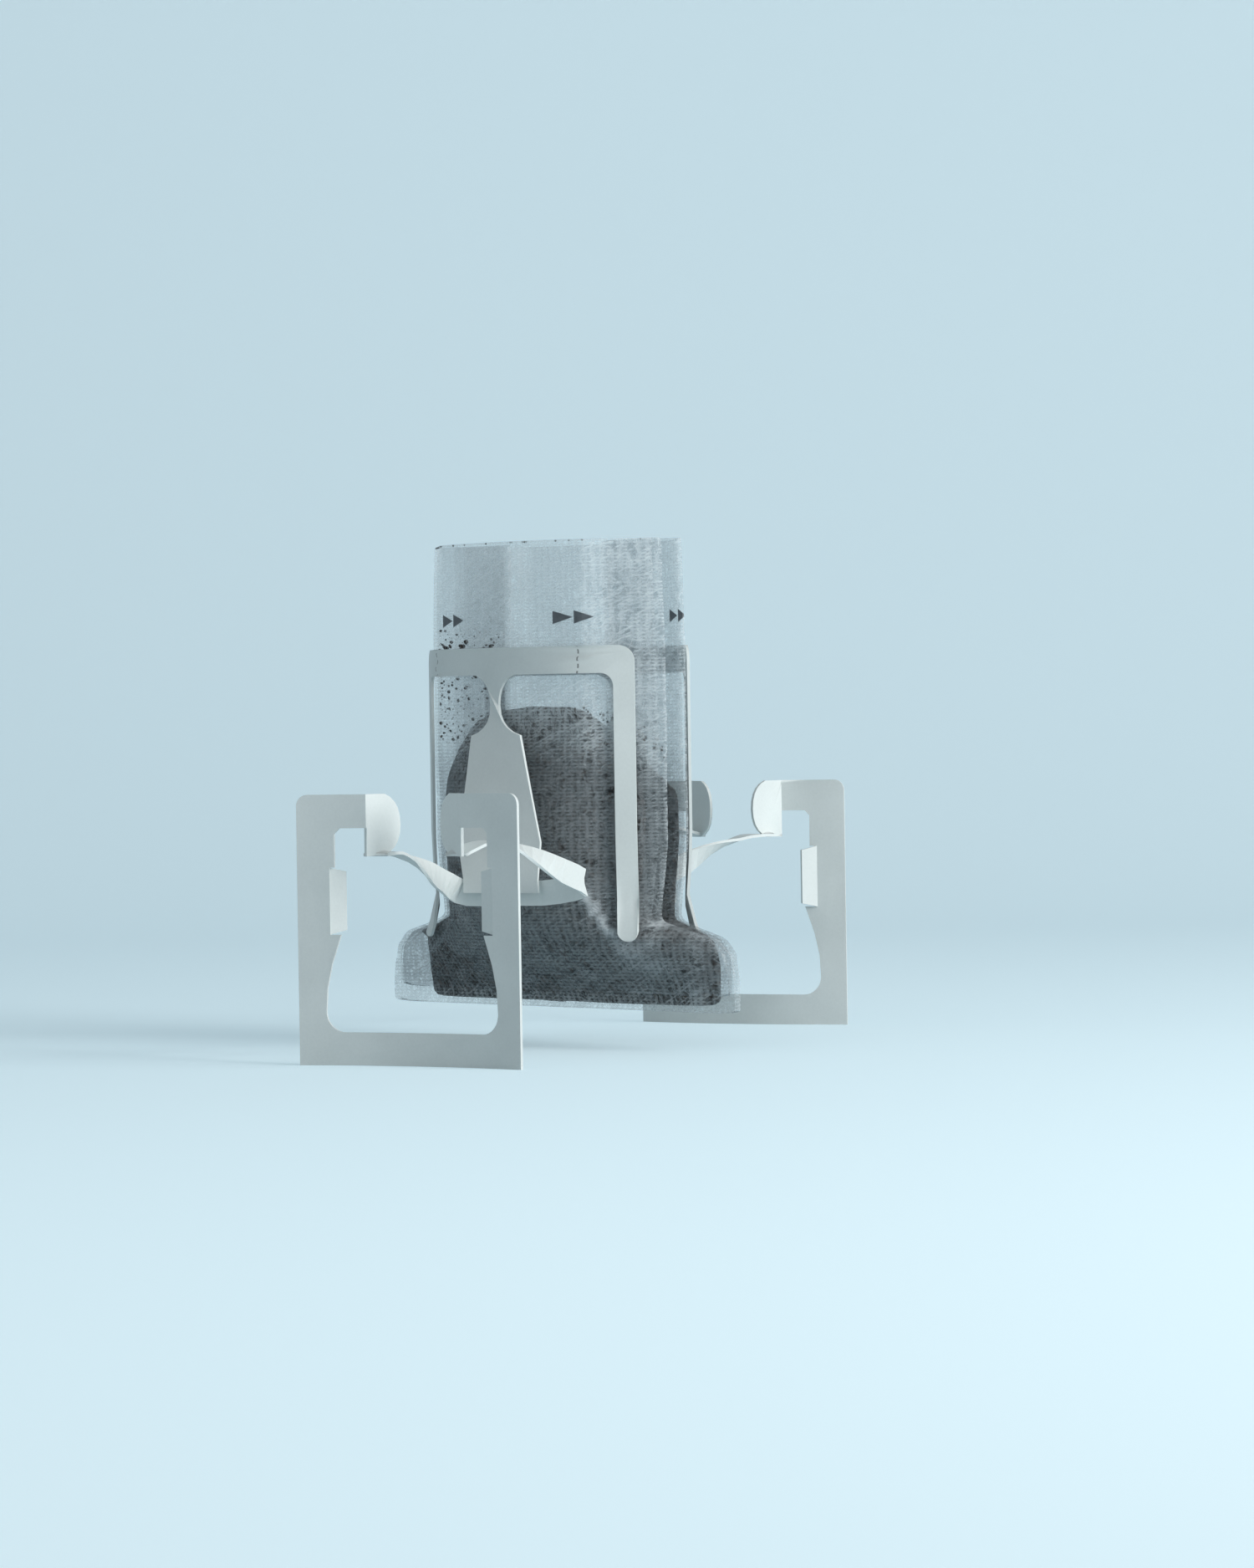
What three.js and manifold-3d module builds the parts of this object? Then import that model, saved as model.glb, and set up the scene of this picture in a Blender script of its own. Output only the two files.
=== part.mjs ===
// Single-serve drip coffee bag, opened and spread as it hangs over a cup: a gusseted filter bag
// with its coffee, and a die-cut card hanger on each face whose ear reaches out to the cup's rim.
// Millimetres, +Z up. The ears face -Y and +Y and stand on Z = 0.

import * as THREE from 'three';
import { mergeVertices } from 'three/addons/utils/BufferGeometryUtils.js';
import { TessellateModifier } from 'three/addons/modifiers/TessellateModifier.js';
import Module from 'manifold-3d';

const wasm = await Module();
wasm.setup();

// Filter bag
const bagBottom = 5.7;
const bagHeight = 72.3;
const bagHalfWidth = 26.2;
const footHalfWidth = 38;
const footRidge = 19.2;
const gussetDepth = 15;
const foldOffset = 2;
const creaseHalf = 15.7;
const creaseOffset = 10.1;
const crownOffset = 12.5;
const coffeeBulge = 2;
const bagWall = 0.4;
const seamHeight = 2.3;
const bagTurn = THREE.MathUtils.degToRad(-17);
const bagCentre = new THREE.Vector3(-4.25, 0, 0);

// Ground coffee
const coffeeShoulder = 37;
const coffeePeak = 51;
const coffeeGap = 0.6;

// Card, and the frame that is glued to the bag's face
const cardThickness = 0.45;
const glueGap = 0.75;
const frameTop = 61.7;
const frameHalf = 24.2;
const frameBar = 4.2;
const frameLeg = 3.3;
const legTip = 16.6;
const frameCorner = 2.5;
const frameFillet = 2;
const creaseFlat = 16;

// Tongue that hangs from the frame's neck
const neckHalf = 0.9;
const neckCut = 9.3;
const tongueTopHalf = 5.15;
const tongueHalf = 7.5;
const tongueWidest = 32;
const tongueFootHalf = 6.5;
const tongueEnd = 24.4;
const tongueFoot = new THREE.Vector2(-1.2, -23.4);

// Ear that hooks over the rim
const earReach = 52;
const earCurve = 78;
const earHeight = 40;
const earHalf = 19;
const earLeg = 5.9;
const earLegWide = 6.8;
const earLegNarrow = 4.3;
const earArm = 5;
const earBar = 4.9;
const earCorner = 1.7;
const earFillet = 3;
const tabTop = 29.2;
const tabBottom = 19.3;
const tabReach = 2.6;
const tabHinge = 5.1;
const tabFolds = [55, 16];
const lobeHinge = 7.9;
const lobeDrop = 9.2;
const lobeReach = 6.9;
const lobeTopReach = 3.7;
const lobeFolds = [75, 35];

// Links between the ear's lobes and the bar under the tongue
const linkWidth = 3.8;
const linkFoot = 1.65;
const barHalf = 7.2;
const cornerOut = [1.5, 7.2];
const cornerForward = [2.2, 1];
const cornerRise = [1.4, 1.5];
const linkRise = [1.6, 3.3];
const linkBow = [-0.7, -1.3];

const paperMaterial = (name) => new THREE.MeshStandardMaterial({ name, color: 0xe4e8e6, roughness: 0.75, metalness: 0 });
const fabric = new THREE.MeshStandardMaterial({
  name: 'nonwoven', color: 0xb9c6cc, roughness: 0.9, metalness: 0, transparent: true, opacity: 0.7,
});
const grounds = new THREE.MeshStandardMaterial({ name: 'grounds', color: 0x2a2422, roughness: 1, metalness: 0 });

const lerp = THREE.MathUtils.lerp;
const smooth = THREE.MathUtils.smoothstep;

// Half sections of the bag by height: outline of one face from its middle to its side fold.
function bagStation(z) {
  const top = bagBottom + bagHeight;
  const foot = 1 - smooth(z, footRidge - 3.2, footRidge + 1);
  const close = 1 - smooth(z, bagBottom, footRidge + 3);
  const heap = smooth(z, footRidge - 4, footRidge + 6) * (1 - smooth(z, coffeeShoulder - 4, coffeePeak));
  const flare = Math.sqrt(Math.max(0, 1 - ((z - bagBottom - 2) / (footRidge + 3)) ** 2));
  const upper = bagHalfWidth - 1.8 * (1 - smooth(z, footRidge, footRidge + 14)) - 0.6 * smooth(z, top - 20, top);
  const thin = 1 - close ** 1.6;
  return {
    half: lerp(upper, lerp(upper, footHalfWidth, flare), foot),
    crease: lerp(0.6, creaseOffset, thin),
    crown: lerp(0.7, crownOffset + coffeeBulge * heap, thin),
    fold: lerp(foldOffset, 0.6, foot),
    gusset: lerp(gussetDepth - 4 * (1 - smooth(z, footRidge, footRidge + 20)), 0.7, foot),
  };
}

// Distance of the face from the bag's middle plane at a point across it, and its slope there.
function faceAt(across, station) {
  const side = Math.abs(across);
  if (side < creaseHalf) {
    const rise = station.crown - station.crease;
    return { off: station.crown - rise * (side / creaseHalf) ** 2, slope: (2 * rise * side) / creaseHalf ** 2 };
  }
  const slope = (station.crease - station.fold) / (station.half - creaseHalf);
  return { off: station.crease - slope * (side - creaseHalf), slope };
}

// Closed section of the bag at one height, set in from the outer surface by a wall.
function bagRing(z, inset) {
  const station = bagStation(z);
  const half = station.half - 3.6 * inset;
  const valley = station.half - station.gusset - 3 * inset;
  const wing = 3;
  const middle = 8;
  const crease = creaseHalf - 0.3 * inset;
  const across = [];
  for (let i = 0; i < wing; i += 1) across.push(-lerp(half, crease, i / wing));
  for (let i = 0; i <= middle; i += 1) across.push(lerp(-crease, crease, i / middle));
  for (let i = 1; i <= wing; i += 1) across.push(lerp(crease, half, i / wing));
  const face = across.map((a) => {
    const { off, slope } = faceAt(a, station);
    return [a, off - inset * Math.hypot(1, slope)];
  });
  const foldOff = face[0][1];
  const leaf = [[lerp(half, valley, 0.5), foldOff / 2], [valley, 0], [lerp(half, valley, 0.5), -foldOff / 2]];
  const ring = [
    ...face.map(([a, off]) => [a, -off]),
    ...leaf.map(([a, off]) => [a, -off]),
    ...face.map(([a, off]) => [-a, off]),
    ...leaf.map(([a, off]) => [-a, off]),
  ];
  return ring.map(([x, y]) => new THREE.Vector3(x, y, z));
}

// Closed skin over a stack of rings, with a fan over the first and the last.
function loft(rings) {
  const count = rings[0].length;
  const points = rings.flat();
  const faces = [];
  for (let r = 0; r < rings.length - 1; r += 1) {
    for (let i = 0; i < count; i += 1) {
      const next = (i + 1) % count;
      const [a, b, c, d] = [r * count + i, r * count + next, (r + 1) * count + next, (r + 1) * count + i];
      faces.push(a, b, c, a, c, d);
    }
  }
  for (const [r, turn] of [[0, 1], [rings.length - 1, 0]]) {
    const hub = points.length;
    const middle = rings[r].reduce((sum, p) => sum.add(p), new THREE.Vector3()).divideScalar(count);
    points.push(middle);
    for (let i = 0; i < count; i += 1) {
      const pair = [r * count + i, r * count + ((i + 1) % count)];
      faces.push(hub, pair[turn], pair[1 - turn]);
    }
  }
  const geometry = new THREE.BufferGeometry().setFromPoints(points);
  geometry.setIndex(faces);
  return geometry;
}

function bagLevels(from) {
  const top = bagBottom + bagHeight;
  const shares = [0, 0.05, 0.12, 0.2, 0.3, 0.42, 0.55, 0.7, 0.85, 1];
  const low = [0.17, 0.4, 0.62, 0.78, 0.88, 0.95, 1].map((s) => lerp(bagBottom, footRidge + 1, s));
  const high = shares.slice(1).map((s) => lerp(footRidge + 1, top, s));
  return [bagBottom, ...low, ...high].filter((z) => z >= from);
}

function bagShell() {
  const outer = bagLevels(bagBottom).map((z) => bagRing(z, 0));
  const inner = bagLevels(bagBottom + seamHeight).map((z) => bagRing(z, bagWall));
  return loft([...outer, ...inner.reverse()]);
}

// The heap fills the bag up to a shoulder and is rounded off above it.
function coffeeHeap() {
  const inset = bagWall + coffeeGap;
  const body = bagLevels(bagBottom + seamHeight + 0.6).filter((z) => z < coffeeShoulder - 1).map((z) => bagRing(z, inset));
  const rings = [...body, bagRing(coffeeShoulder, inset)];
  const steps = 6;
  const rim = rings[rings.length - 1];
  for (let i = 1; i < steps; i += 1) {
    const angle = (i / steps) * (Math.PI / 2);
    const shrink = Math.cos(angle);
    const level = lerp(coffeeShoulder, coffeePeak, Math.sin(angle));
    rings.push(rim.map((p) => new THREE.Vector3(p.x * shrink, p.y * shrink, level)));
  }
  return loft(rings);
}

// Flat card cut to a shape, with edges short enough to bend.
function card(shape, longestEdge) {
  const flat = new THREE.ExtrudeGeometry(shape, { depth: cardThickness, bevelEnabled: false, curveSegments: 5 });
  flat.deleteAttribute('normal');
  flat.deleteAttribute('uv');
  return mergeVertices(new TessellateModifier(longestEdge, 30).modify(flat), 1e-4);
}

// Each point of a flat card, at u, v and w through its thickness, moves to where fold sends it.
function bend(geometry, fold) {
  const place = geometry.getAttribute('position');
  for (let i = 0; i < place.count; i += 1) {
    const p = fold(place.getX(i), place.getY(i), place.getZ(i));
    place.setXYZ(i, p.x, p.y, p.z);
  }
  return geometry;
}

function toSolid(geometry) {
  return new wasm.Manifold(new wasm.Mesh({
    numProp: 3,
    vertProperties: new Float32Array(geometry.getAttribute('position').array),
    triVerts: new Uint32Array(geometry.getIndex().array),
  }));
}

function toGeometry(solid) {
  const mesh = solid.getMesh();
  const geometry = new THREE.BufferGeometry();
  geometry.setAttribute('position', new THREE.BufferAttribute(new Float32Array(mesh.vertProperties), 3));
  geometry.setIndex(new THREE.BufferAttribute(new Uint32Array(mesh.triVerts), 1));
  return geometry;
}

function outline(points) {
  const shape = new THREE.Shape();
  points.forEach(([kind, ...values]) => shape[kind](...values));
  return shape;
}

// Frame and tongue as one outline: bar, two legs, and the tongue on its narrow neck.
function frameShape() {
  const inner = frameHalf - frameLeg;
  const tip = legTip + frameLeg / 2;
  const barBottom = frameTop - frameBar;
  const cutBottom = barBottom - neckCut;
  const neckLevel = barBottom - neckCut / 2;
  const half = Math.PI / 2;
  return outline([
    ['moveTo', -frameHalf, tip],
    ['lineTo', -frameHalf, frameTop - frameCorner],
    ['absarc', -frameHalf + frameCorner, frameTop - frameCorner, frameCorner, Math.PI, half, true],
    ['absarc', frameHalf - frameCorner, frameTop - frameCorner, frameCorner, half, 0, true],
    ['lineTo', frameHalf, tip],
    ['absarc', frameHalf - frameLeg / 2, tip, frameLeg / 2, 0, -Math.PI, true],
    ['lineTo', inner, barBottom - frameFillet],
    ['absarc', inner - frameFillet, barBottom - frameFillet, frameFillet, 0, half, false],
    ['lineTo', tongueTopHalf - 0.9, barBottom],
    ['quadraticCurveTo', neckHalf, barBottom - 1, neckHalf, neckLevel],
    ['quadraticCurveTo', neckHalf, cutBottom + 1, tongueTopHalf, cutBottom],
    ['lineTo', tongueHalf, tongueWidest],
    ['lineTo', tongueFootHalf, tongueEnd + linkWidth / 2],
    ['lineTo', tongueFootHalf, tongueEnd],
    ['lineTo', -tongueFootHalf, tongueEnd],
    ['lineTo', -tongueFootHalf, tongueEnd + linkWidth / 2],
    ['lineTo', -tongueHalf, tongueWidest],
    ['lineTo', -tongueTopHalf, cutBottom],
    ['quadraticCurveTo', -neckHalf, cutBottom + 1, -neckHalf, neckLevel],
    ['quadraticCurveTo', -neckHalf, barBottom - 1, -tongueTopHalf + 0.9, barBottom],
    ['lineTo', -inner + frameFillet, barBottom],
    ['absarc', -inner + frameFillet, barBottom - frameFillet, frameFillet, half, Math.PI, false],
    ['lineTo', -inner, tip],
    ['absarc', -inner - frameLeg / 2, tip, frameLeg / 2, 0, -Math.PI, true],
  ]);
}

// From the bag's own axes to the object's.
function fromBag(x, y, z) {
  return new THREE.Vector3(x, y, z).applyAxisAngle(new THREE.Vector3(0, 0, 1), bagTurn).add(bagCentre);
}

// The frame lies on the bag's face, and the tongue swings out from its neck towards the ear.
function frameFold(u, v, w) {
  const neckLevel = frameTop - frameBar - neckCut / 2;
  const lift = glueGap + w;
  if (v < neckLevel && Math.abs(u) < creaseFlat - 2) {
    const share = (neckLevel - v) / (neckLevel - tongueEnd);
    const foot = new THREE.Vector3(tongueFoot.x, tongueFoot.y, v).sub(bagCentre);
    foot.applyAxisAngle(new THREE.Vector3(0, 0, 1), -bagTurn);
    const crown = bagStation(neckLevel).crown;
    const turn = -bagTurn * share;
    const x = lerp(0, foot.x, share) + u * Math.cos(turn) + lift * Math.sin(turn);
    const y = lerp(-crown, foot.y, share) + u * Math.sin(turn) - lift * Math.cos(turn);
    return fromBag(x, y, v);
  }
  const station = bagStation(v);
  const beyond = Math.max(0, Math.abs(u) - creaseFlat);
  const wingSlope = faceAt(creaseHalf, station).slope;
  const reach = Math.min(Math.abs(u), creaseFlat) * (creaseHalf / creaseFlat) + beyond / Math.hypot(1, wingSlope);
  const across = Math.sign(u) * reach;
  const { off, slope } = faceAt(across, station);
  const length = Math.hypot(1, slope);
  const x = across + (lift * slope * Math.sign(u)) / length;
  return fromBag(x, -off - lift / length, v);
}

// Half of the ear's outline is drawn down one leg, and the other half is its mirror image.
function earShape() {
  const inner = earHalf - earLeg;
  const top = earHeight - earArm;
  const half = Math.PI / 2;
  const narrow = earHalf - earLegNarrow;
  const side = [
    [lobeHinge, top], [inner - 0.8, top], [inner, top - 0.8], [inner, tabTop], [earHalf - tabHinge, tabTop],
    [earHalf - tabHinge, tabBottom], [earHalf - earLegWide, tabBottom], [lerp(earHalf - earLegWide, narrow, 0.6), lerp(tabBottom, earBar, 0.3)],
    [lerp(earHalf - earLegWide, narrow, 0.92), lerp(tabBottom, earBar, 0.55)], [narrow, earBar + earFillet],
  ];
  const mirrored = side.map(([u, v]) => ['lineTo', -u, v]).reverse();
  return outline([
    ['moveTo', lobeHinge, earHeight],
    ...side.map(([u, v]) => ['lineTo', u, v]),
    ['absarc', narrow - earFillet, earBar + earFillet, earFillet, 0, -half, true],
    ['absarc', -narrow + earFillet, earBar + earFillet, earFillet, -half, -Math.PI, true],
    ...mirrored,
    ['lineTo', -lobeHinge, earHeight],
    ['absarc', -earHalf + earCorner, earHeight - earCorner, earCorner, half, Math.PI, false],
    ['lineTo', -earHalf, 0],
    ['lineTo', earHalf, 0],
    ['absarc', earHalf - earCorner, earHeight - earCorner, earCorner, 0, half, false],
  ]);
}

// The ear is bowed about an upright axis outside it, so its sides stand further out than its middle.
function earFold(u, v, w) {
  const angle = u / earCurve;
  const radius = earCurve - w;
  return new THREE.Vector3(radius * Math.sin(angle), radius * Math.cos(angle) - earReach - earCurve, v);
}

// A flap hinged on an upright line of the ear and folded inwards by an angle.
function flapFold(side, hinge, degrees) {
  const line = earFold(side * hinge, 0, 0);
  const turn = THREE.MathUtils.degToRad(degrees);
  const along = new THREE.Vector2(-side * Math.cos(turn), Math.sin(turn));
  const out = new THREE.Vector2(along.y * -side, along.x * side).multiplyScalar(-1);
  return (u, v, w) => new THREE.Vector3(
    line.x + u * along.x + w * out.x,
    line.y + u * along.y + w * out.y,
    v,
  );
}

function lobeShape() {
  const bottom = earHeight - lobeDrop;
  const middle = earHeight - lobeDrop / 2;
  return outline([
    ['moveTo', -0.2, earHeight],
    ['lineTo', lobeTopReach, earHeight],
    ['quadraticCurveTo', lobeReach, earHeight - 1, lobeReach, middle],
    ['quadraticCurveTo', lobeReach, bottom + 1, linkFoot * 2, bottom],
    ['lineTo', -0.2, bottom],
  ]);
}

function tabShape() {
  const inset = 0.6;
  return outline([
    ['moveTo', -0.2, tabTop],
    ['lineTo', tabReach, tabTop - inset],
    ['lineTo', tabReach, tabBottom + inset],
    ['lineTo', -0.2, tabBottom],
  ]);
}

// The flap on the left is a mirror image, so its faces are turned round.
function flap(shape, side, hinge, degrees) {
  const geometry = bend(card(shape, 6), flapFold(side, hinge, degrees));
  if (side < 0) geometry.setIndex(Array.from(geometry.getIndex().array).reverse());
  return geometry;
}

// Route of the strip from one lobe, round the bar under the tongue, to the other lobe.
// Each point carries how far the strip is rolled over and how much it goes with the ear.
function stripRoute() {
  const half = [-1, 1].map((side, k) => {
    const turn = THREE.MathUtils.degToRad(lobeFolds[k]);
    const hinge = earFold(side * lobeHinge, 0, 0);
    const foot = new THREE.Vector3(
      hinge.x - side * linkFoot * Math.cos(turn),
      hinge.y + linkFoot * Math.sin(turn),
      earHeight - lobeDrop + cardThickness / 2,
    );
    const barLevel = tongueEnd;
    const corner = new THREE.Vector3(
      tongueFoot.x + side * (barHalf + cornerOut[k]),
      tongueFoot.y - cornerForward[k],
      barLevel + cornerRise[k],
    );
    const link = [0, 0.25, 0.45, 0.65, 0.84].map((share) => {
      const point = foot.clone().lerp(corner, share);
      point.z += linkRise[k] * Math.sin(Math.PI * share ** 0.8);
      point.x += linkBow[k] * Math.sin(Math.PI * share);
      return { point, roll: side * -90 * (1 - smooth(share, 0.3, 1)), ear: 1 - share };
    });
    const bend90 = { point: corner, roll: side * -6, ear: 0 };
    const bar = {
      point: new THREE.Vector3(tongueFoot.x + side * barHalf, tongueFoot.y + (side > 0 ? 0.6 : 0), barLevel),
      roll: 0,
      ear: 0,
    };
    return [...link, bend90, bar];
  });
  const middle = { point: new THREE.Vector3(tongueFoot.x, tongueFoot.y, tongueEnd), roll: 0, ear: 0 };
  return [...half[0], middle, ...half[1].reverse()];
}

function stripFold(route, place) {
  const curve = new THREE.CatmullRomCurve3(route.map((stop) => place(stop.point, stop.ear)), false, 'centripetal');
  const last = route.length - 1;
  return {
    length: curve.getLength(),
    fold: (u, v, w) => {
      const t = THREE.MathUtils.clamp(u, 0, 1);
      const stop = Math.min(Math.floor(t * last), last - 1);
      const roll = THREE.MathUtils.degToRad(lerp(route[stop].roll, route[stop + 1].roll, t * last - stop));
      const centre = curve.getPoint(t);
      const along = curve.getTangent(t);
      const flat = new THREE.Vector3(along.y, -along.x, 0).normalize();
      const up = new THREE.Vector3().crossVectors(flat, along).negate();
      const across = up.multiplyScalar(Math.cos(roll)).addScaledVector(flat, Math.sin(roll)).normalize();
      const face = new THREE.Vector3().crossVectors(along, across).normalize();
      return centre.addScaledVector(across, v).addScaledVector(face, w - cardThickness / 2);
    },
  };
}

// One die-cut card: frame and tongue, strip, lobes, ear and tabs, folded and joined.
function hanger(place) {
  const onBag = (fold) => (u, v, w) => place(fold(u, v, w), 0);
  const onEar = (geometry) => bend(geometry, (x, y, z) => place(new THREE.Vector3(x, y, z), 1));
  const strip = stripFold(stripRoute(), place);
  const steps = Math.ceil(strip.length / 2);
  const ribbon = new THREE.BoxGeometry(1, linkWidth, cardThickness, steps, 1, 1).translate(0.5, 0, cardThickness / 2);
  ribbon.deleteAttribute('normal');
  ribbon.deleteAttribute('uv');
  const pieces = [
    bend(card(frameShape(), 6), onBag(frameFold)),
    bend(mergeVertices(ribbon, 1e-4), strip.fold),
    onEar(bend(card(earShape(), 9), earFold)),
  ];
  [-1, 1].forEach((side, k) => {
    pieces.push(onEar(flap(lobeShape(), side, lobeHinge, lobeFolds[k])));
    pieces.push(onEar(flap(tabShape(), side, earHalf - tabHinge, tabFolds[k])));
  });
  return toGeometry(pieces.map(toSolid).reduce((whole, piece) => whole.add(piece)));
}

const front = (point) => point.clone();
const rear = (point, ear) => new THREE.Vector3(
  2 * bagCentre.x * (1 - ear) - point.x,
  2 * bagCentre.y * (1 - ear) - point.y,
  point.z,
);

function named(name, geometry, material) {
  geometry.computeVertexNormals();
  const mesh = new THREE.Mesh(geometry, material);
  mesh.name = name;
  return mesh;
}

const bag = new THREE.Group();
bag.position.copy(bagCentre);
bag.rotation.z = bagTurn;
bag.add(named('filter_bag', bagShell(), fabric), named('ground_coffee', coffeeHeap(), grounds));

const dripBag = new THREE.Group();
dripBag.add(
  bag,
  named('front_hanger', hanger(front), paperMaterial('front_card')),
  named('rear_hanger', hanger(rear), paperMaterial('rear_card')),
);

// The origin is under the middle of the whole, on the surface that the ears stand on.
const extent = new THREE.Box3().setFromObject(dripBag, true);
const middle = extent.getCenter(new THREE.Vector3());
dripBag.position.set(-middle.x, -middle.y, -extent.min.z);

export default dripBag;
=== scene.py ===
# Opened drip coffee bag: filter bag, grounds and two card hangers, dressed for a studio picture.
import math
import random

import bmesh
import bpy
from mathutils import Matrix, Vector, noise
from mathutils.bvhtree import BVHTree


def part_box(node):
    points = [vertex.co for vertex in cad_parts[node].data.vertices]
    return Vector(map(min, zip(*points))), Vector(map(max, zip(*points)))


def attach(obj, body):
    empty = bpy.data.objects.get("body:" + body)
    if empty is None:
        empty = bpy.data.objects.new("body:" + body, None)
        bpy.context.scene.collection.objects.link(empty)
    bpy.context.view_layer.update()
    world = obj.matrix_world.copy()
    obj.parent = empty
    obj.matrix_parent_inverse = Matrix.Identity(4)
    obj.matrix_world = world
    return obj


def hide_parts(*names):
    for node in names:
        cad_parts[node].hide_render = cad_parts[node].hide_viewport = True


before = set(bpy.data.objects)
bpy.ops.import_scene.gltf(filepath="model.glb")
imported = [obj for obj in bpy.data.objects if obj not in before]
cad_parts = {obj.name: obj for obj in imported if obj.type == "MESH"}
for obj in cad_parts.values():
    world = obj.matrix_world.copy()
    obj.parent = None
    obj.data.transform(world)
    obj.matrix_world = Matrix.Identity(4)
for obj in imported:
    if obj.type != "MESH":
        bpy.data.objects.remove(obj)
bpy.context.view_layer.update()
print("frame loaded:", ", ".join(sorted(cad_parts)))

bagAngle = math.radians(-17)  # the bag's turn about Z between the two ears
acrossBag = Vector((math.cos(bagAngle), math.sin(bagAngle), 0))
outOfFace = Vector((math.sin(bagAngle), -math.cos(bagAngle), 0))
farOut = 0.08  # where rays towards the bag start, well outside it
closeIn = 0.07  # how far in from there the nearest place is looked for when a ray misses
bagLow, bagHigh = [Vector(corner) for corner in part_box("filter_bag")]


# Camera at the photograph's angle
cameraSet = {
    "azimuth": 28.0,
    "distance": 0.812,
    "height": 0.0513,
    "sideStep": 0.0068,
    "aimFrom": Vector((0.00425, 0, 0)),
    "pitchDown": 0.775,
    "roll": -0.9,
    "lens": 120.0,
    "sensor": 36.0,
    "nearest": 0.01,
}


def placeCamera(values):
    angle = math.radians(values["azimuth"])
    right = Vector((math.cos(angle), math.sin(angle), 0))
    back = Vector((math.sin(angle), -math.cos(angle), 0))
    data = bpy.data.cameras.new("photoCamera")
    data.lens = values["lens"]
    data.sensor_width = values["sensor"]
    data.clip_start = values["nearest"]
    camera = bpy.data.objects.new("photoCamera", data)
    bpy.context.scene.collection.objects.link(camera)
    place = values["aimFrom"] + back * values["distance"] + right * values["sideStep"]
    place.z = values["height"]
    turn = Matrix.Rotation(angle, 4, "Z") @ Matrix.Rotation(math.radians(90 - values["pitchDown"]), 4, "X")
    roll = Matrix.Rotation(math.radians(values["roll"]), 4, "Z")
    camera.matrix_world = Matrix.Translation(place) @ turn @ roll
    bpy.context.scene.camera = camera
    return right, back


cameraRight, cameraBack = placeCamera(cameraSet)
print("camera placed")


# Helpers for pieces
def newPiece(name, bm, material):
    mesh = bpy.data.meshes.new(name)
    bm.to_mesh(mesh)
    bm.free()
    piece = bpy.data.objects.new(name, mesh)
    bpy.context.scene.collection.objects.link(piece)
    mesh.materials.append(material)
    return piece


def mergedCopy(nodeName):
    bm = bmesh.new()
    bm.from_mesh(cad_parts[nodeName].data)
    bmesh.ops.remove_doubles(bm, verts=bm.verts, dist=2e-6)
    return bm


def smoothShade(piece, sharpAngle):
    for face in piece.data.polygons:
        face.use_smooth = True
    piece.data.set_sharp_from_angle(angle=math.radians(sharpAngle))


def subdivideSoftly(piece, levels):
    modifier = piece.modifiers.new("soft form", "SUBSURF")
    modifier.levels = levels
    modifier.render_levels = levels


def surfaceTree(piece):
    bpy.context.view_layer.update()
    finished = piece.evaluated_get(bpy.context.evaluated_depsgraph_get())
    bm = bmesh.new()
    bm.from_mesh(finished.to_mesh())
    bmesh.ops.transform(bm, verts=bm.verts, matrix=finished.matrix_world)
    print(piece.name, "surface for fitting:", len(bm.faces), "faces")
    tree = BVHTree.FromBMesh(bm)
    finished.to_mesh_clear()
    bm.free()
    return tree


def pointOnFace(tree, across, height):
    start = acrossBag * across + outOfFace * farOut + Vector((0, 0, height))
    hit, _, _, _ = tree.ray_cast(start, -outOfFace)
    if hit is None:
        hit, _, _, _ = tree.find_nearest(start - outOfFace * closeIn)
    return hit


# A place on the bag by its crossing, which is its distance across less its distance out of the face,
# so that the gusset behind the front fold can be reached too
def pointAtCrossing(tree, crossing, height):
    slant = acrossBag + outOfFace
    start = acrossBag * crossing + slant * farOut + Vector((0, 0, height))
    hit, _, _, _ = tree.ray_cast(start, -slant.normalized())
    return hit, slant.normalized()


# Helpers for materials
def newMaterial(name, roughness, specular=0.5):
    material = bpy.data.materials.new(name)
    material.use_nodes = True
    shader = material.node_tree.nodes["Principled BSDF"]
    shader.inputs["Roughness"].default_value = roughness
    shader.inputs["Specular IOR Level"].default_value = specular
    return material, material.node_tree, shader


def mathNode(tree, operation, first, second=None, third=None):
    node = tree.nodes.new("ShaderNodeMath")
    node.operation = operation
    for socket, value in zip(node.inputs, (first, second, third)):
        if value is None:
            continue
        if isinstance(value, (int, float)):
            socket.default_value = value
        else:
            tree.links.new(value, socket)
    return node.outputs[0]


def rampNode(tree, value, stops):
    node = tree.nodes.new("ShaderNodeValToRGB")
    tree.links.new(value, node.inputs[0])
    while len(node.color_ramp.elements) < len(stops):
        node.color_ramp.elements.new(0.5)
    for element, (place, colour) in zip(node.color_ramp.elements, stops):
        element.position = place
        element.color = (*colour, 1.0)
    return node.outputs[0]


def mixNode(tree, factor, first, second, blend="MIX"):
    node = tree.nodes.new("ShaderNodeMix")
    node.data_type = "RGBA"
    node.blend_type = blend
    tree.links.new(factor, node.inputs["Factor"])
    tree.links.new(first, node.inputs["A"])
    node.inputs["B"].default_value = (*second, 1)
    return node.outputs["Result"]


def noiseNode(tree, vector, scale, detail=2.0):
    node = tree.nodes.new("ShaderNodeTexNoise")
    node.inputs["Scale"].default_value = scale
    node.inputs["Detail"].default_value = detail
    tree.links.new(vector, node.inputs["Vector"])
    return node.outputs[0]


def bumpNode(tree, height, strength, distance):
    node = tree.nodes.new("ShaderNodeBump")
    node.inputs["Strength"].default_value = strength
    node.inputs["Distance"].default_value = distance
    tree.links.new(height, node.inputs["Height"])
    return node.outputs[0]


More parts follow.
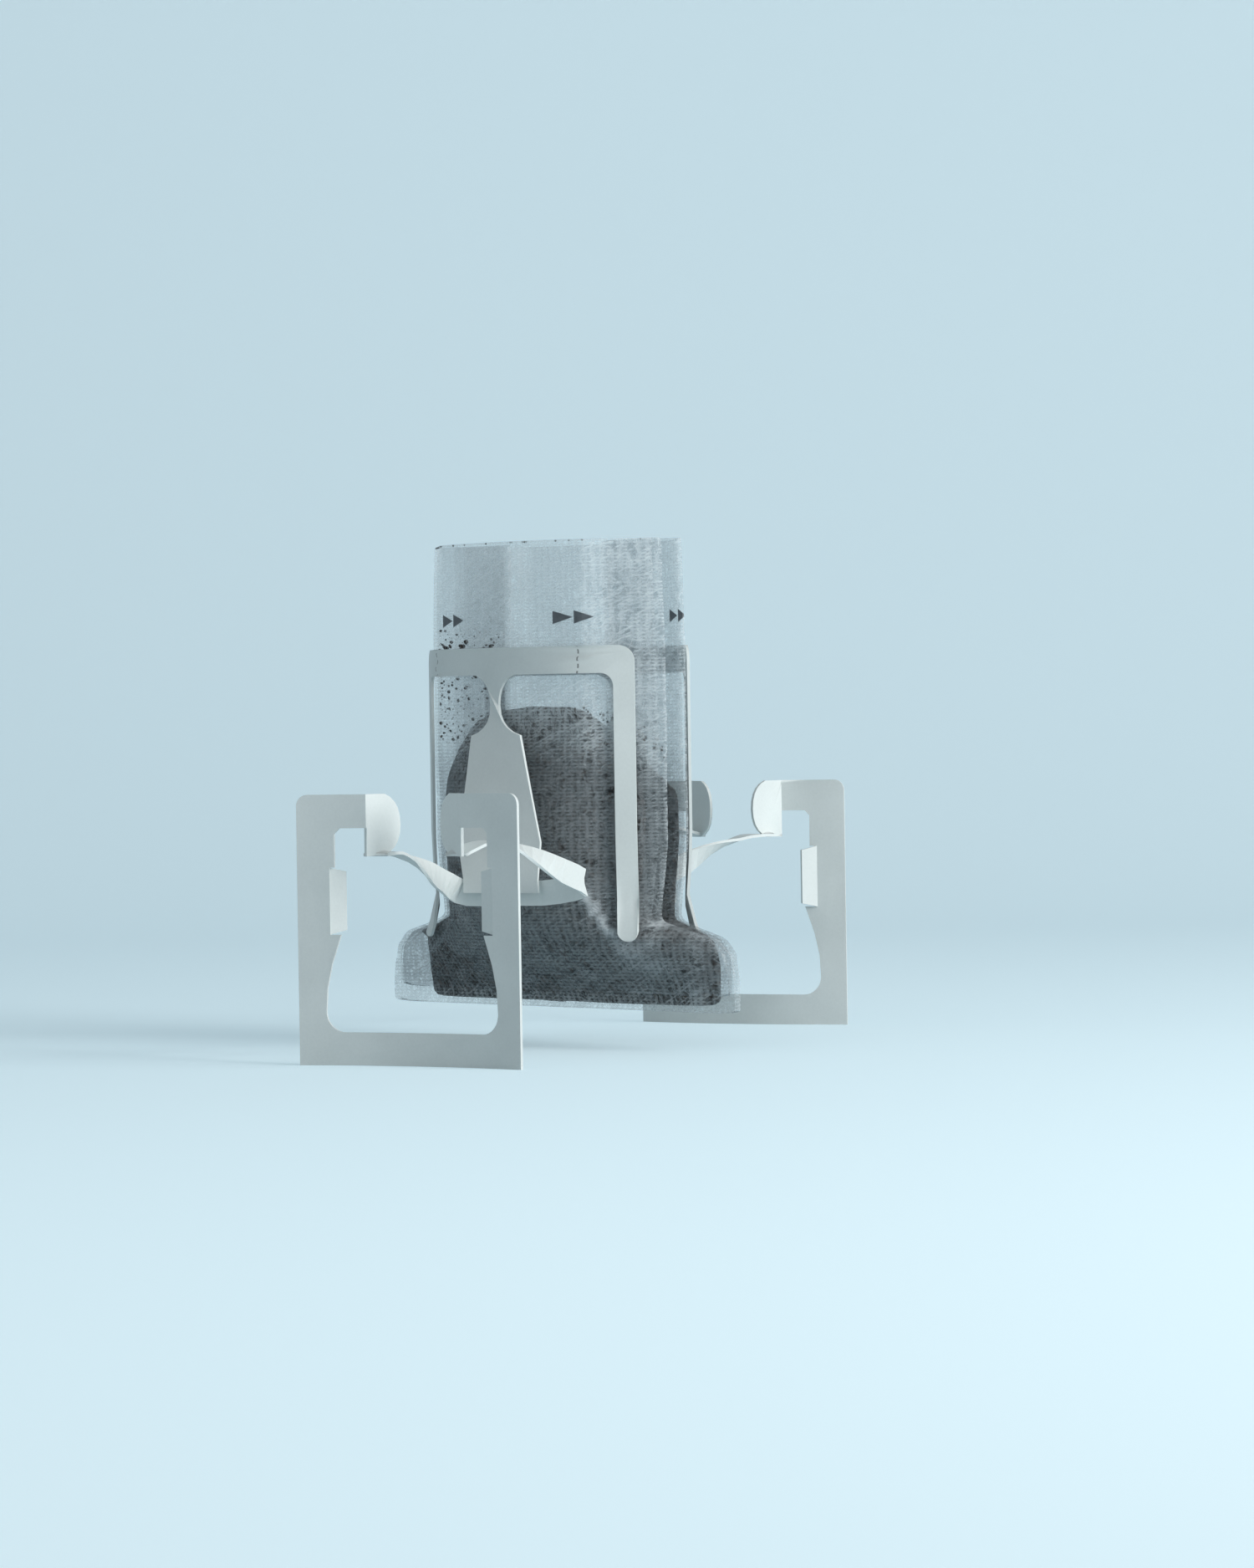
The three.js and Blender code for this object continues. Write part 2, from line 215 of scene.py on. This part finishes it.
def attributeNode(tree, name):
    node = tree.nodes.new("ShaderNodeAttribute")
    node.attribute_name = name
    return node.outputs["Fac"]


def objectVector(tree):
    return tree.nodes.new("ShaderNodeTexCoord").outputs["Object"]


def bagVector(tree):
    turn = tree.nodes.new("ShaderNodeMapping")
    turn.inputs["Rotation"].default_value = (0, 0, -bagAngle)
    tree.links.new(objectVector(tree), turn.inputs["Vector"])
    return turn.outputs[0]


def groupSockets(tree, inputs, outputs):
    for name, kind, value in inputs:
        socket = tree.interface.new_socket(name=name, in_out="INPUT", socket_type=kind)
        if value is not None:
            socket.default_value = value
    for name, kind in outputs:
        tree.interface.new_socket(name=name, in_out="OUTPUT", socket_type=kind)
    return tree.nodes.new("NodeGroupInput"), tree.nodes.new("NodeGroupOutput")


def useGroup(tree, group, values):
    node = tree.nodes.new("ShaderNodeGroup")
    node.node_tree = group
    for name, value in values.items():
        if isinstance(value, (int, float)):
            node.inputs[name].default_value = value
        else:
            tree.links.new(value, node.inputs[name])
    return node.outputs[0]


# Strands of the nonwoven, as thin ridges of stretched noise in a few directions
strandSet = {
    "turns": (24, -31, 78, -74),
    "scale": 900.0,
    "stretch": 0.12,
    "throughFabric": 0.3,
    "width": 0.12,
    "detail": 3.0,
    "laterLayers": 0.85,
}


def makeStrandGroup(values):
    tree = bpy.data.node_groups.new("layeredStrands", "ShaderNodeTree")
    source, result = groupSockets(
        tree,
        [
            ("Vector", "NodeSocketVector", None),
            ("Scale", "NodeSocketFloat", values["scale"]),
            ("Stretch", "NodeSocketFloat", values["stretch"]),
            ("Width", "NodeSocketFloat", values["width"]),
        ],
        [("Strands", "NodeSocketFloat")],
    )
    layers = []
    for angle in values["turns"]:
        turn = tree.nodes.new("ShaderNodeVectorRotate")
        turn.rotation_type = "Y_AXIS"
        turn.inputs["Angle"].default_value = math.radians(angle)
        tree.links.new(source.outputs["Vector"], turn.inputs["Vector"])
        stretch = tree.nodes.new("ShaderNodeCombineXYZ")
        tree.links.new(source.outputs["Stretch"], stretch.inputs[0])
        stretch.inputs[1].default_value = values["throughFabric"]
        stretch.inputs[2].default_value = 1.0
        scaled = tree.nodes.new("ShaderNodeVectorMath")
        scaled.operation = "MULTIPLY"
        tree.links.new(turn.outputs[0], scaled.inputs[0])
        tree.links.new(stretch.outputs[0], scaled.inputs[1])
        grain = tree.nodes.new("ShaderNodeTexNoise")
        grain.inputs["Detail"].default_value = values["detail"]
        tree.links.new(scaled.outputs[0], grain.inputs["Vector"])
        tree.links.new(source.outputs["Scale"], grain.inputs["Scale"])
        ridge = mathNode(tree, "ABSOLUTE", mathNode(tree, "SUBTRACT", grain.outputs[0], 0.5))
        thin = mathNode(tree, "SUBTRACT", 1.0, mathNode(tree, "DIVIDE", ridge, source.outputs["Width"]))
        layers.append(mathNode(tree, "MAXIMUM", thin, 0.0))
    total = layers[0]
    for layer in layers[1:]:
        total = mathNode(tree, "MAXIMUM", total, mathNode(tree, "MULTIPLY", layer, values["laterLayers"]))
    tree.links.new(total, result.inputs["Strands"])
    return tree


# Diamonds pressed into the fabric
diamondSet = {
    "pitch": 0.0011,
    "slope": 0.5,
    "softness": 0.2,
}


def makeDiamondGroup(values):
    tree = bpy.data.node_groups.new("diamondEmboss", "ShaderNodeTree")
    source, result = groupSockets(
        tree,
        [("Vector", "NodeSocketVector", None), ("Pitch", "NodeSocketFloat", values["pitch"])],
        [("Dots", "NodeSocketFloat")],
    )
    parts = tree.nodes.new("ShaderNodeSeparateXYZ")
    tree.links.new(source.outputs["Vector"], parts.inputs[0])
    waves = []
    for slope in (values["slope"], -values["slope"]):
        slant = mathNode(tree, "MULTIPLY_ADD", parts.outputs[0], slope, parts.outputs[2])
        turns = mathNode(tree, "DIVIDE", slant, source.outputs["Pitch"])
        waves.append(mathNode(tree, "COSINE", mathNode(tree, "MULTIPLY", turns, math.tau)))
    both = mathNode(tree, "MULTIPLY", waves[0], waves[1])
    soft = mathNode(tree, "SMOOTH_MAX", both, 0.0, values["softness"])
    tree.links.new(soft, result.inputs["Dots"])
    return tree


# Nonwoven filter fabric
fabricSet = {
    "thinPlace": 0.055,
    "strandCover": 0.30,
    "strandScale": 900.0,
    "strandWidth": 0.09,
    "dotThinning": 0.65,
    "dotDarkening": 0.3,
    "cloudScale": 160.0,
    "cloudDetail": 4.0,
    "cloudCover": (0.9, 0.65),
    "foldCover": 0.55,
    "mostCover": 0.9,
    "gapColour": (0.45, 0.52, 0.56),
    # pale colour of the painted highlight along the folds
    "strandColour": (0.84, 0.91, 0.94),
    "foldHighlightColour": (0.86, 0.92, 0.95),
    # colour and strength of the painted shade where the fabric lies over the grounds
    "groundsShadeColour": (0.12, 0.13, 0.14),
    "groundsShade": 0.52,
    "roughness": 0.72,
    "specular": 0.3,
    "bump": (0.5, 0.00012),
}


def makeFabric(values):
    material, tree, shader = newMaterial("nonwovenFabric", values["roughness"], values["specular"])
    vector = bagVector(tree)
    strands = useGroup(tree, makeStrandGroup(strandSet), {
        "Vector": vector,
        "Scale": values["strandScale"],
        "Width": values["strandWidth"],
    })
    dots = useGroup(tree, makeDiamondGroup(diamondSet), {"Vector": vector})
    folds = attributeNode(tree, "foldHighlight")
    grounds = attributeNode(tree, "overGrounds")

    # how much of the light each layer stops
    cover = mathNode(tree, "MULTIPLY_ADD", strands, values["strandCover"], values["thinPlace"])
    thinning = mathNode(tree, "MULTIPLY_ADD", dots, -values["dotThinning"], 1.0)
    cover = mathNode(tree, "MULTIPLY", cover, thinning)
    cloud = noiseNode(tree, vector, values["cloudScale"], values["cloudDetail"])
    cover = mathNode(tree, "MULTIPLY", cover, mathNode(tree, "MULTIPLY_ADD", cloud, *values["cloudCover"]))
    cover = mathNode(tree, "MULTIPLY_ADD", folds, values["foldCover"], cover)
    tree.links.new(mathNode(tree, "MINIMUM", cover, values["mostCover"]), shader.inputs["Alpha"])

    relief = mathNode(tree, "MULTIPLY_ADD", dots, -values["dotDarkening"], strands)
    colour = rampNode(tree, relief, [(0.0, values["gapColour"]), (0.9, values["strandColour"])])
    # painted shade: fabric lying close over the grounds is darkened, for the light from behind that the
    # grounds block
    shading = mathNode(tree, "MULTIPLY", grounds, values["groundsShade"])
    colour = mixNode(tree, shading, colour, values["groundsShadeColour"], "MULTIPLY")
    # painted highlight: fabric along the folds and ridges is mixed towards a pale colour, as if the creases
    # caught the light
    colour = mixNode(tree, folds, colour, values["foldHighlightColour"])
    tree.links.new(colour, shader.inputs["Base Color"])
    tree.links.new(bumpNode(tree, relief, *values["bump"]), shader.inputs["Normal"])
    return material


# Roasted grounds, each grain its own brown
coffeeSet = {
    "grainScale": 1500.0,
    "stops": [(0.1, (0.010, 0.008, 0.007)), (0.55, (0.028, 0.021, 0.018)), (0.95, (0.075, 0.058, 0.048))],
    "roughness": 0.85,
    "specular": 0.25,
    "bump": (0.8, 0.0004),
}


def makeCoffee(values):
    material, tree, shader = newMaterial("roastedGrounds", values["roughness"], values["specular"])
    grain = tree.nodes.new("ShaderNodeTexVoronoi")
    grain.inputs["Scale"].default_value = values["grainScale"]
    tree.links.new(objectVector(tree), grain.inputs["Vector"])
    tree.links.new(rampNode(tree, grain.outputs["Color"], values["stops"]), shader.inputs["Base Color"])
    tree.links.new(bumpNode(tree, grain.outputs["Distance"], *values["bump"]), shader.inputs["Normal"])
    return material


# Card of the hangers, with a dashed score where the frame folds round the bag
cardSet = {
    "colour": (0.70, 0.745, 0.74),
    "shadeColour": (0.62, 0.665, 0.66),
    "slitColour": (0.22, 0.23, 0.23),
    "fineGrain": (2600.0, 6.0),
    "broadGrain": (90.0, 3.0),
    "fineShare": 0.3,
    "broadShare": 0.7,
    "perforationHalf": 0.00011,
    "perforationPitch": 0.0011,
    "perforationOpen": 0.6,
    "creaseAcross": 0.0157,
    "barFoot": 0.0575,
    "roughness": 0.68,
    "specular": 0.3,
    "bump": (0.12, 0.00006),
    "sharpAngle": 22,
}


def makeCard(name, values):
    material, tree, shader = newMaterial(name, values["roughness"], values["specular"])
    vector = bagVector(tree)
    fine = noiseNode(tree, vector, *values["fineGrain"])
    broad = noiseNode(tree, vector, *values["broadGrain"])
    fineLayer = mathNode(tree, "MULTIPLY", fine, values["fineShare"])
    blend = mathNode(tree, "MULTIPLY_ADD", broad, values["broadShare"], fineLayer)
    paper = rampNode(tree, blend, [(0.32, values["shadeColour"]), (0.68, values["colour"])])

    parts = tree.nodes.new("ShaderNodeSeparateXYZ")
    tree.links.new(vector, parts.inputs[0])
    side = mathNode(tree, "ABSOLUTE", parts.outputs[0])
    onLine = mathNode(tree, "COMPARE", side, values["creaseAcross"], values["perforationHalf"])
    onBar = mathNode(tree, "GREATER_THAN", parts.outputs[2], values["barFoot"])
    count = mathNode(tree, "DIVIDE", parts.outputs[2], values["perforationPitch"])
    dash = mathNode(tree, "LESS_THAN", mathNode(tree, "FRACT", count), values["perforationOpen"])
    slit = mathNode(tree, "MULTIPLY", mathNode(tree, "MULTIPLY", onLine, onBar), dash)
    tree.links.new(mixNode(tree, slit, paper, values["slitColour"]), shader.inputs["Base Color"])
    tree.links.new(bumpNode(tree, fine, *values["bump"]), shader.inputs["Normal"])
    return material


fabricMaterial = makeFabric(fabricSet)
coffeeMaterial = makeCoffee(coffeeSet)
print("materials made")

# Filter bag
bagSet = {
    "flat": (0.182, 0.0765),
    "wrinkle": 0.00028,
    "wrinkleSize": 0.011,
    "footHeight": 0.018,
    "footWrinkle": 0.00045,
    "footWrinkleSize": 0.0045,
    "groundsReach": 0.0040,
    "foldsBelow": 0.026,
    # each fold: its line as (crossing, height), then its width, the strength of its painted highlight and
    # its depth
    "folds": (
        (((0.0050, 0.0240), (0.0100, 0.0190), (0.0138, 0.0145)), 0.0007, 0.75, 0.0006),
        (((0.0194, 0.0190), (0.0250, 0.0197), (0.0289, 0.0194), (0.0320, 0.0184), (0.0348, 0.0154),
          (0.0365, 0.0122)), 0.0006, 0.6, 0.0003),
        (((0.0289, 0.0192), (0.0298, 0.0070)), 0.0010, 0.28, 0.0004),
        (((0.0142, 0.0140), (0.0200, 0.0165)), 0.0012, 0.30, 0.0003),
        (((0.0150, 0.0130), (0.0230, 0.0125)), 0.0012, 0.25, 0.0003),
    ),
    "sharpAngle": 70,
}


def awayFromLine(spot, points):
    nearest = 1.0
    for start, end in zip(points, points[1:]):
        line = Vector(end) - Vector(start)
        share = max(0.0, min(1.0, (spot - Vector(start)).dot(line) / line.length_squared))
        nearest = min(nearest, (spot - Vector(start) - line * share).length)
    return nearest


def makeBag(values):
    bm = mergedCopy("filter_bag")
    bmesh.ops.subdivide_edges(bm, edges=bm.edges, cuts=2, use_grid_fill=True)
    foldHighlight = bm.verts.layers.float.new("foldHighlight")
    overGrounds = bm.verts.layers.float.new("overGrounds")
    grounds = mergedCopy("ground_coffee")
    groundsTree = BVHTree.FromBMesh(grounds)
    grounds.free()
    reach = values["groundsReach"]
    for vert in bm.verts:
        across = vert.co.dot(acrossBag)
        out = vert.co.dot(outOfFace)
        side = 1 if out > 0 else -1
        push = noise.noise(vert.co / values["wrinkleSize"]) * values["wrinkle"]
        # each fold near the front face gives a painted highlight strength as well as a push out of the face
        highlightShare = 0.0
        if side > 0 and vert.co.z < values["foldsBelow"]:
            spot = Vector((across - out, vert.co.z))
            for points, width, pale, depth in values["folds"]:
                nearness = math.exp(-((awayFromLine(spot, points) / width) ** 2))
                highlightShare = max(highlightShare, pale * nearness)
                push += depth * nearness
        vert[foldHighlight] = highlightShare
        # closeness to the grounds, which sets how much painted shade the fabric gets
        _, _, _, gap = groundsTree.find_nearest(vert.co)
        vert[overGrounds] = max(0.0, min(1.0, (reach - gap) / reach * 2))
        foot = max(0.0, 1 - (vert.co.z - bagLow.z) / values["footHeight"])
        push += foot * noise.noise(vert.co / values["footWrinkleSize"]) * values["footWrinkle"]
        vert.co += outOfFace * side * push
    piece = newPiece("filterBag", bm, fabricMaterial)
    smoothShade(piece, values["sharpAngle"])
    subdivideSoftly(piece, 1)
    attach(piece, "root")
    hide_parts("filter_bag")
    return piece


bag = makeBag(bagSet)
bagTree = surfaceTree(bag)
print("filter bag made")


# Coffee heap, close behind the fabric and down into the bag's foot
heapSet = {
    "footTop": 0.0165,
    "footEnd": 0.0068,
    "wallRoom": 0.0007,
    "leastHalf": 0.0001,
    "leftEnd": -0.0275,
    "leftPull": 0.75,
    "inwards": 0.97,
    "domeFoot": 0.0380,
    # how far the dome's top moves up at each crossing
    "domeLift": (
        (-0.0300, 0.0026),
        (-0.0180, 0.0032),
        (-0.0060, 0.0020),
        (0.0000, 0.0018),
        (0.0260, -0.0042),
    ),
    "domeShare": 1.4,
    "swell": 0.00012,
    "fineGrain": (0.0011, 0.00022),
    "coarseGrain": (0.004, 0.0002),
    "sharpAngle": 80,
}


def valueAlong(points, place):
    if place <= points[0][0]:
        return points[0][1]
    for (start, low), (end, high) in zip(points, points[1:]):
        if place <= end:
            share = (place - start) / (end - start)
            return low + (high - low) * share * share * (3 - 2 * share)
    return points[-1][1]


def liftDome(bm, values):
    heapHigh = max(vert.co.z for vert in bm.verts)
    for vert in bm.verts:
        if vert.co.z > values["domeFoot"]:
            crossing = vert.co.dot(acrossBag) - vert.co.dot(outOfFace)
            share = (vert.co.z - values["domeFoot"]) / (heapHigh - values["domeFoot"])
            vert.co.z += min(1.0, share * values["domeShare"]) * valueAlong(values["domeLift"], crossing)


def fillFoot(bm, values, tree):
    heapLow = min(vert.co.z for vert in bm.verts)
    footTop = values["footTop"]
    for vert in bm.verts:
        if vert.co.z >= footTop:
            continue
        share = (footTop - vert.co.z) / (footTop - heapLow)
        vert.co.z = footTop - share * (footTop - values["footEnd"])
        across = vert.co.dot(acrossBag)
        if across < values["leftEnd"]:
            vert.co += acrossBag * (values["leftEnd"] - across) * values["leftPull"]
            across = vert.co.dot(acrossBag)
        out = vert.co.dot(outOfFace)
        start = acrossBag * across * values["inwards"] + outOfFace * math.copysign(farOut, out)
        start.z = vert.co.z
        hit, _, _, _ = tree.ray_cast(start, outOfFace * -math.copysign(1, out))
        if hit is not None:
            room = max(values["leastHalf"], abs(hit.dot(outOfFace)) - values["wallRoom"])
            vert.co += outOfFace * (math.copysign(min(abs(out), room), out) - out)


def roughenGrains(bm, values):
    bm.normal_update()
    shifts = []
    fineSize, fineHeight = values["fineGrain"]
    coarseSize, coarseHeight = values["coarseGrain"]
    for vert in bm.verts:
        fine = noise.noise(vert.co / fineSize) * fineHeight
        coarse = noise.noise(vert.co / coarseSize) * coarseHeight
        shifts.append(vert.normal * (values["swell"] + (fine + coarse)))
    for vert, shift in zip(bm.verts, shifts):
        vert.co += shift


def makeHeap(values, tree):
    bm = mergedCopy("ground_coffee")
    bmesh.ops.subdivide_edges(bm, edges=bm.edges, cuts=2, use_grid_fill=True)
    liftDome(bm, values)
    fillFoot(bm, values, tree)
    roughenGrains(bm, values)
    piece = newPiece("coffeeHeap", bm, coffeeMaterial)
    smoothShade(piece, values["sharpAngle"])
    subdivideSoftly(piece, 1)
    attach(piece, "root")
    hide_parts("ground_coffee")


makeHeap(heapSet, bagTree)
print("coffee heap made")


# Card hangers
def makeHanger(nodeName, pieceName):
    piece = newPiece(pieceName, mergedCopy(nodeName), makeCard(pieceName + "Card", cardSet))
    smoothShade(piece, cardSet["sharpAngle"])
    modifier = piece.modifiers.new("even shading", "WEIGHTED_NORMAL")
    modifier.keep_sharp = True
    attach(piece, "root")
    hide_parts(nodeName)


makeHanger("front_hanger", "frontHanger")
makeHanger("rear_hanger", "rearHanger")
print("hangers made")

# Tear line print: pairs of arrows round the mouth, each from one crossing to another
arrowSet = {
    "height": 0.0661,
    "halfTall": 0.00100,
    "halfTip": 0.00001,
    "spans": (
        (-0.0252, -0.0230),
        (-0.0228, -0.0205),
        (-0.0006, 0.0037),
        (0.0040, 0.0083),
        (0.0247, 0.0263),
        (0.0265, 0.0281),
    ),
    "steps": 5,
    "lift": 0.00007,
    "ink": (0.075, 0.085, 0.095),
    "inkPale": 1.35,
    "inkGrain": 900.0,
    "roughness": 0.6,
}


def makeInk(values):
    material, tree, shader = newMaterial("greyInk", values["roughness"])
    mottle = noiseNode(tree, objectVector(tree), values["inkGrain"])
    pale = tuple(part * values["inkPale"] for part in values["ink"])
    tree.links.new(rampNode(tree, mottle, [(0.3, values["ink"]), (0.7, pale)]), shader.inputs["Base Color"])
    return material


def makeArrows(values, tree):
    bm = bmesh.new()
    steps = values["steps"]
    for tail, tip in values["spans"]:
        rows = []
        for step in range(steps + 1):
            crossing = tail + (tip - tail) * step / steps
            half = values["halfTall"] * (1 - step / steps) + values["halfTip"]
            pair = []
            for up in (half, -half):
                hit, out = pointAtCrossing(tree, crossing, values["height"] + up)
                if hit is not None:
                    pair.append(bm.verts.new(hit + out * values["lift"]))
            if len(pair) == 2:
                rows.append(pair)
        for first, second in zip(rows, rows[1:]):
            bm.faces.new((first[0], first[1], second[1], second[0]))
    bmesh.ops.recalc_face_normals(bm, faces=bm.faces)
    piece = newPiece("tearArrows", bm, makeInk(values))
    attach(piece, "root")


makeArrows(arrowSet, bagTree)
print("arrows made")

# Coffee dust inside the bag above the heap, clumps over the card and crumbs on the mouth
dustSet = {
    "seed": 11,
    "faceCount": 330,
    "faceCrossing": (-0.0262, -0.0125),
    "faceHeight": (0.0470, 0.0650),
    "faceSize": (0.00008, 0.00036),
    "faceLean": 1.6,
    "faceFineness": 4,
    "faceDepth": 1.05,
    # crossing, height and grain size of each clump
    "clumps": ((-0.0243, 0.0617, 0.0006), (-0.0206, 0.0621, 0.00055), (-0.0146, 0.0617, 0.0005)),
    "clumpCount": 9,
    "clumpSpread": 0.0009,
    "clumpRise": (-0.4, 0.8),
    "clumpGrain": (0.35, 0.8),
    "clumpDepth": 1.02,
    "rimCount": 120,
    "rimCrossing": (-0.0105, 0.0230),
    "rimHeight": 0.0505,
    "rimFall": 0.0060,
    "rimScatter": 0.0022,
    "rimSize": (0.00010, 0.00030),
    "rimDepth": 1.5,
    "mouthCount": 26,
    "mouthHalf": 0.024,
    "mouthSize": (0.00009, 0.0002),
    "mouthBelow": 0.0009,
    "mouthInset": 0.0002,
}


def addCrumb(bm, place, size):
    angle = random.uniform(0, math.tau)
    axis = Vector((random.random(), random.random(), 1)).normalized()
    squash = Matrix.Diagonal((1.0, random.uniform(0.6, 1.0), random.uniform(0.5, 1.0), 1.0))
    matrix = Matrix.Translation(place) @ Matrix.Rotation(angle, 4, axis) @ squash
    bmesh.ops.create_icosphere(bm, subdivisions=1, radius=size, matrix=matrix)


def addBehindFabric(bm, tree, crossing, height, size, depth):
    hit, out = pointAtCrossing(tree, crossing, height)
    if hit is not None:
        addCrumb(bm, hit - out * size * depth, size)


def scatterOnFace(bm, values, tree):
    left, right = values["faceCrossing"]
    low, high = values["faceHeight"]
    small, large = values["faceSize"]
    for _ in range(values["faceCount"]):
        lean = random.random() ** values["faceLean"]
        height = low + (high - low) * random.random() ** (1.0 + lean)
        size = small + (large - small) * random.random() ** values["faceFineness"]
        addBehindFabric(bm, tree, left + lean * (right - left), height, size, values["faceDepth"])


def scatterClumps(bm, values, tree):
    spread = values["clumpSpread"]
    for clumpCrossing, clumpHeight, clumpSize in values["clumps"]:
        for _ in range(values["clumpCount"]):
            crossing = clumpCrossing + random.uniform(-1, 1) * spread
            height = clumpHeight + random.uniform(*values["clumpRise"]) * spread
            size = clumpSize * random.uniform(*values["clumpGrain"])
            addBehindFabric(bm, tree, crossing, height, size, values["clumpDepth"])


def scatterOnHeapRim(bm, values, tree):
    left, right = values["rimCrossing"]
    for _ in range(values["rimCount"]):
        share = random.random()
        fall = values["rimFall"] * (2 * share - 1) ** 2
        height = values["rimHeight"] - fall + random.random() ** 2 * values["rimScatter"]
        size = random.uniform(*values["rimSize"])
        addBehindFabric(bm, tree, left + share * (right - left), height, size, values["rimDepth"])


def scatterOnMouth(bm, values, tree):
    for _ in range(values["mouthCount"]):
        across = random.uniform(-values["mouthHalf"], values["mouthHalf"])
        edge = pointOnFace(tree, across, bagHigh.z - values["mouthBelow"])
        edge.z = bagHigh.z - values["mouthInset"]
        addCrumb(bm, edge - outOfFace * values["mouthInset"], random.uniform(*values["mouthSize"]))


def makeDust(values, tree):
    random.seed(values["seed"])
    bm = bmesh.new()
    scatterOnFace(bm, values, tree)
    scatterClumps(bm, values, tree)
    scatterOnHeapRim(bm, values, tree)
    scatterOnMouth(bm, values, tree)
    piece = newPiece("coffeeDust", bm, coffeeMaterial)
    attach(piece, "root")


makeDust(dustSet, bagTree)
print("dust made")

# Floor and backdrop in one sweep
stageSet = {
    "colour": (0.70, 0.84, 0.90),
    "glow": (0.58, 0.73, 0.79),
    "glowShare": 0.28,
    "reach": 1.6,
    "backAt": 0.9,
    "sweep": 0.5,
    "sweepSteps": 24,
    "backHigh": 1.6,
    "roughness": 0.9,
    "specular": 0.1,
}


def makeStage(values):
    bm = bmesh.new()
    bmesh.ops.create_grid(bm, x_segments=1, y_segments=1, size=1.0)
    width, depth = values["reach"], values["backAt"]
    for vert in bm.verts:
        vert.co = Vector((vert.co.x * width, depth if vert.co.y > 0 else -width, 0))
    backEdge = [edge for edge in bm.edges if all(vert.co.y > 0 for vert in edge.verts)]
    grown = bmesh.ops.extrude_edge_only(bm, edges=backEdge)["geom"]
    raised = [part for part in grown if isinstance(part, bmesh.types.BMVert)]
    bmesh.ops.translate(bm, verts=raised, vec=(0, 0, values["backHigh"]))
    bmesh.ops.bevel(
        bm, geom=backEdge, offset=values["sweep"], segments=values["sweepSteps"], profile=0.5,
        affect="EDGES", material=-1,
    )
    turn = Matrix.Rotation(math.radians(cameraSet["azimuth"]), 3, "Z")
    bmesh.ops.rotate(bm, verts=bm.verts, matrix=turn)
    bmesh.ops.recalc_face_normals(bm, faces=bm.faces)
    material, tree, shader = newMaterial("paleSweep", values["roughness"], values["specular"])
    shader.inputs["Base Color"].default_value = (*values["colour"], 1)
    shader.inputs["Emission Color"].default_value = (*values["glow"], 1)
    path = tree.nodes.new("ShaderNodeLightPath")
    seen = mathNode(tree, "MULTIPLY", path.outputs["Is Camera Ray"], values["glowShare"])
    tree.links.new(seen, shader.inputs["Emission Strength"])
    piece = newPiece("paleFloor", bm, material)
    for face in piece.data.polygons:
        face.use_smooth = True


# Soft studio light, each lamp's place given to the camera's right, back towards it and up
lightSet = {
    "aim": Vector((0, 0, 0.04)),
    "keyLamp": {"place": (0.66, 0.46, 0.30), "size": 0.45, "power": 6.2, "colour": (1.0, 0.99, 0.97)},
    "fillLamp": {"place": (-0.6, 0.45, 0.4), "size": 0.7, "power": 0.3, "colour": (0.93, 0.97, 1.0)},
    "worldColour": (0.86, 0.95, 1.0),
    "worldPower": 0.37,
}


def addLamp(name, values, aim):
    data = bpy.data.lights.new(name, "AREA")
    data.shape = "SQUARE"
    data.size = values["size"]
    data.energy = values["power"]
    data.color = values["colour"]
    lamp = bpy.data.objects.new(name, data)
    bpy.context.scene.collection.objects.link(lamp)
    right, back, up = values["place"]
    place = cameraRight * right + cameraBack * back + Vector((0, 0, up))
    turn = (aim - place).to_track_quat("-Z", "Y").to_matrix().to_4x4()
    lamp.matrix_world = Matrix.Translation(place) @ turn


def makeWorld(values):
    world = bpy.data.worlds.new("paleStudio")
    world.use_nodes = True
    bpy.context.scene.world = world
    tree = world.node_tree
    background = tree.nodes["Background"]
    path = tree.nodes.new("ShaderNodeLightPath")
    seen = mathNode(tree, "MAXIMUM", path.outputs["Is Camera Ray"], path.outputs["Is Glossy Ray"])
    seen = mathNode(tree, "MAXIMUM", seen, path.outputs["Is Transmission Ray"])
    strength = mathNode(tree, "MULTIPLY_ADD", seen, 1.0 - values["worldPower"], values["worldPower"])
    background.inputs["Color"].default_value = (*values["worldColour"], 1)
    tree.links.new(strength, background.inputs["Strength"])


makeStage(stageSet)
makeWorld(lightSet)
for lampName in ("keyLamp", "fillLamp"):
    addLamp(lampName, lightSet[lampName], lightSet["aim"])
bpy.context.scene.view_settings.view_transform = "Standard"
print("stage and light made")

print("scene finished")
